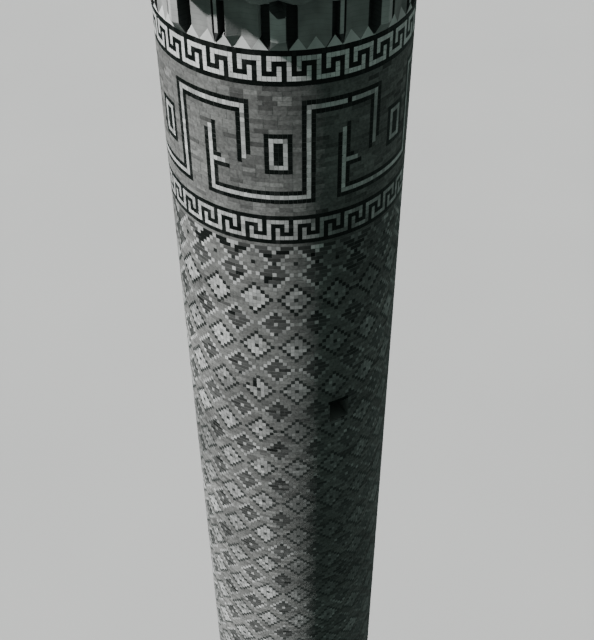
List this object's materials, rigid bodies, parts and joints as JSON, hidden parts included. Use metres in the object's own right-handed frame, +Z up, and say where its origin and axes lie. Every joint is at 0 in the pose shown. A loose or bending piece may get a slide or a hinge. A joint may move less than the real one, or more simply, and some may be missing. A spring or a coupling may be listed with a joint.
{
  "type": "round brick minaret",
  "caption": "Round brick tower with a glazed lozenge-patterned shaft, banded top, muqarnas cornice, railed gallery and domed lantern on an octagonal plinth.",
  "frame": {"origin": "on the tower's axis at ground level, at the middle of the underside", "axes": "+Z up the tower's axis, -Y to the front with the doorway, +X to the right of someone facing the doorway"},
  "size_m": [4.6572, 4.66, 31.8394],
  "materials": {
    "brick": "buff brick, matt, laid in courses with flush mortar",
    "black_glaze": "near-black glazed brick, satin",
    "white_glaze": "white glazed brick head, glossy",
    "blue_glaze": "dark blue-grey glazed brick, glossy",
    "stucco": "pale lime plaster, matt",
    "stone": "dressed grey stone, worn",
    "mortar": "lime mortar, rough",
    "dome_glaze": "blue-grey glazed dome brick, satin",
    "brass": "weathered brass"
  },
  "bodies": {
    "root": {"plinth_wall_right_front": "brick", "plinth_wall_right_rear": "brick", "plinth_wall_left_rear": "brick", "plinth_wall_left_front": "brick", "door_jamb_right": "brick", "door_jamb_left": "brick", "door_head": "brick", "ground_floor": "stone", "plinth_cap": "stone", "shaft_lower_1": "brick", "shaft_lower_2": "brick", "shaft_lower_3": "brick", "shaft_lower_4": "brick", "shaft_lower_5": "brick", "shaft_lower_6": "brick", "shaft_upper_1": "brick", "shaft_upper_2": "brick", "shaft_upper_3": "brick", "shaft_upper_4": "brick", "shaft_upper_5": "brick", "shaft_upper_6": "brick", "lower_fret_band": "black_glaze", "broad_fret_band": "brick", "upper_fret_band": "black_glaze", "muqarnas_tier_1": "stucco", "muqarnas_tier_2": "stucco", "muqarnas_tier_3": "stucco", "muqarnas_tier_4": "stucco", "gallery_floor": "stone", "parapet_1": "brick", "parapet_2": "brick", "parapet_3": "brick", "parapet_4": "brick", "parapet_5": "brick", "parapet_6": "brick", "parapet_coping": "stone", "lantern_wall_front": "brick", "lantern_wall_right": "brick", "lantern_wall_left": "brick", "lantern_door_jamb_right": "brick", "lantern_door_jamb_left": "brick", "lantern_door_head": "brick", "lantern_cornice": "brick", "lantern_dome": "dome_glaze", "finial": "brass"}
  },
  "joints": []
}
